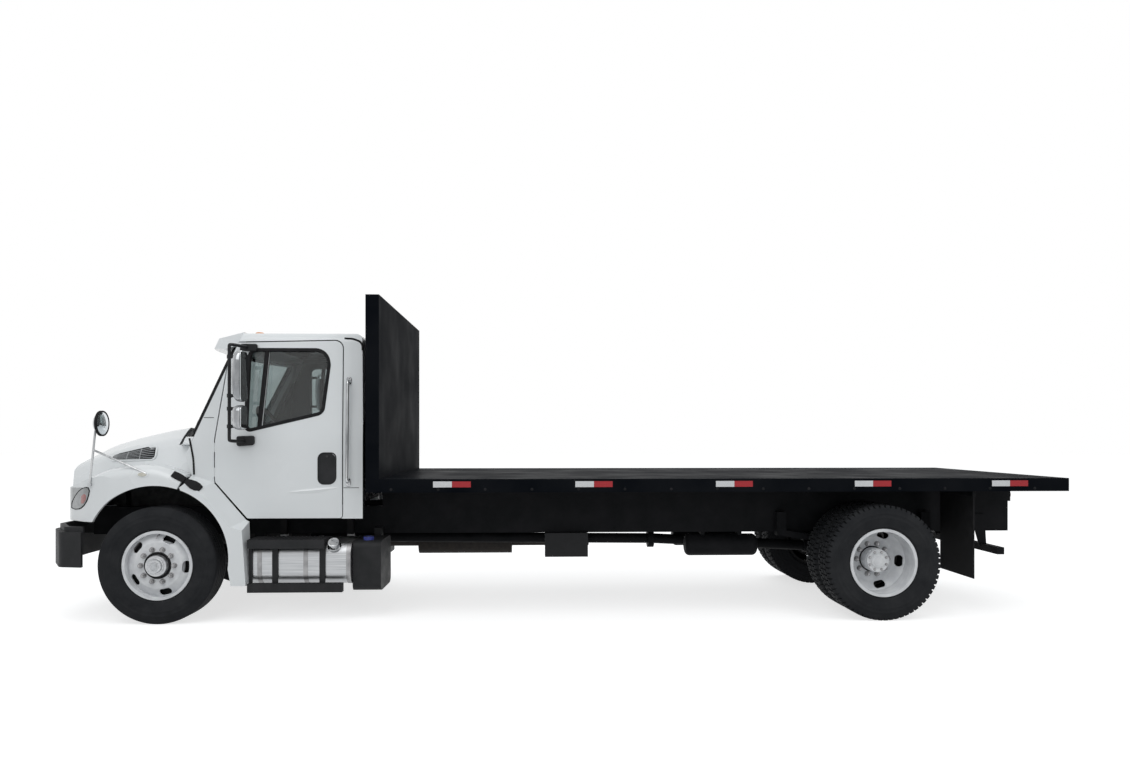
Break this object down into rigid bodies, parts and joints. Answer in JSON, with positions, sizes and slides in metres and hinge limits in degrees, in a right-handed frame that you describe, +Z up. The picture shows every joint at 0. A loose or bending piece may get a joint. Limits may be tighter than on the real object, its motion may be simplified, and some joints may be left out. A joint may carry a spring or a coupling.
{
  "type": "flatbed truck",
  "caption": "Flatbed truck with a short conventional cab, a tilting hood, a long steel platform with a tall headboard, and paired rear wheels.",
  "frame": {"origin": "on the ground under the middle of the truck's length and width", "axes": "+X to the rear, +Y to the truck's right, +Z up"},
  "size_m": [8.997, 2.7908, 2.832],
  "materials": {
    "cab_paint": "glossy white enamel",
    "frame_paint": "satin black chassis paint",
    "bed_paint": "glossy black enamel",
    "bumper_plastic": "grained black",
    "flap_rubber": "matt black",
    "engine_iron": "dull grey",
    "tank_aluminium": "brushed",
    "pipe_steel": "dull",
    "bright_metal": "polished",
    "wheel_paint": "white enamel",
    "tyre_rubber": "matt black",
    "window_glass": "lightly tinted",
    "lamp_clear": "clear",
    "lamp_amber": "amber lens",
    "lamp_red": "red lens",
    "seat_cloth": "grey cloth",
    "interior_plastic": "grained grey"
  },
  "bodies": {
    "truck": {"air_tanks": "frame_paint", "battery_box": "bumper_plastic", "bed_crossmembers": "frame_paint", "bed_deck": "bed_paint", "bed_rails": "bed_paint", "bed_sills": "frame_paint", "cab_glass": "window_glass", "cab_shell": "cab_paint", "chassis_frame": "frame_paint", "dashboard": "interior_plastic", "def_tank": "bumper_plastic", "driveshaft": "frame_paint", "engine": "engine_iron", "exhaust": "pipe_steel", "front_axle_beam": "frame_paint", "front_bumper": "bumper_plastic", "fuel_tank": "tank_aluminium", "gearbox": "engine_iron", "grab_handles": "bright_metal", "headboard": "bed_paint", "leaf_springs": "frame_paint", "mud_flaps": "flap_rubber", "quarter_fenders": "cab_paint", "radiator": "engine_iron", "rear_axle": "frame_paint", "rear_guard": "frame_paint", "roof_lamps": "lamp_amber", "seat_bases": "interior_plastic", "seats": "seat_cloth", "steering_wheel": "interior_plastic", "sun_visor": "cab_paint", "tail_lamps": "lamp_red", "tank_steps": "bumper_plastic", "under_box": "bumper_plastic"},
    "hood_assembly": {"hood": "cab_paint", "grille": "bumper_plastic", "headlamps": "lamp_clear", "hood_mirrors": "bright_metal"},
    "steering_knuckle_left": {"knuckle_left": "frame_paint"},
    "steering_knuckle_right": {"knuckle_right": "frame_paint"},
    "steering_rod": {"tie_rod": "frame_paint"},
    "front_wheel_left": {"front_rim_left": "wheel_paint", "front_tyre_left": "tyre_rubber"},
    "front_wheel_right": {"front_rim_right": "wheel_paint", "front_tyre_right": "tyre_rubber"},
    "rear_wheels_left": {"rear_rims_left": "wheel_paint", "rear_tyres_left": "tyre_rubber"},
    "rear_wheels_right": {"rear_rims_right": "wheel_paint", "rear_tyres_right": "tyre_rubber"},
    "cab_door_left": {"door_left": "cab_paint", "door_glass_left": "window_glass", "door_mirror_left": "bright_metal"},
    "cab_door_right": {"door_right": "cab_paint", "door_glass_right": "window_glass", "door_mirror_right": "bright_metal"}
  },
  "joints": [
    {"name": "steer_left", "type": "hinge", "parent": "truck", "child": "steering_knuckle_left", "pos_m": [-3.4485, -0.895, 0.506], "axis": [0, 0, 1], "range_deg": [-45, 45]},
    {"name": "steer_right", "type": "hinge", "parent": "truck", "child": "steering_knuckle_right", "pos_m": [-3.4485, 0.895, 0.506], "axis": [0, 0, 1], "range_deg": [-45, 45]},
    {"name": "steering_rod_pivot", "type": "hinge", "parent": "steering_knuckle_left", "child": "steering_rod", "pos_m": [-3.2585, -0.895, 0.376], "axis": [0, 0, 1], "range_deg": [-45, 45]},
    {"name": "front_wheel_left_spin", "type": "hinge", "parent": "steering_knuckle_left", "child": "front_wheel_left", "pos_m": [-3.4485, -1.015, 0.506], "axis": [0, 1, 0], "continuous": true},
    {"name": "front_wheel_right_spin", "type": "hinge", "parent": "steering_knuckle_right", "child": "front_wheel_right", "pos_m": [-3.4485, 1.015, 0.506], "axis": [0, 1, 0], "continuous": true},
    {"name": "rear_wheels_left_spin", "type": "hinge", "parent": "truck", "child": "rear_wheels_left", "pos_m": [2.8515, -0.925, 0.506], "axis": [0, 1, 0], "continuous": true},
    {"name": "rear_wheels_right_spin", "type": "hinge", "parent": "truck", "child": "rear_wheels_right", "pos_m": [2.8515, 0.925, 0.506], "axis": [0, 1, 0], "continuous": true},
    {"name": "door_left_hinge", "type": "hinge", "parent": "truck", "child": "cab_door_left", "pos_m": [-2.9985, -1.04, 1.412], "axis": [0, 0, -1], "range_deg": [0, 70]},
    {"name": "door_right_hinge", "type": "hinge", "parent": "truck", "child": "cab_door_right", "pos_m": [-2.9985, 1.04, 1.412], "axis": [0, 0, 1], "range_deg": [0, 70]},
    {"name": "hood_hinge", "type": "hinge", "parent": "truck", "child": "hood_assembly", "pos_m": [-4.4565, 0, 0.882], "axis": [0, -1, 0], "range_deg": [0, 75]}
  ],
  "couplings": [
    {"joint": "steer_right", "follows": "steer_left", "ratio": 1},
    {"joint": "steering_rod_pivot", "follows": "steer_left", "ratio": -1}
  ]
}
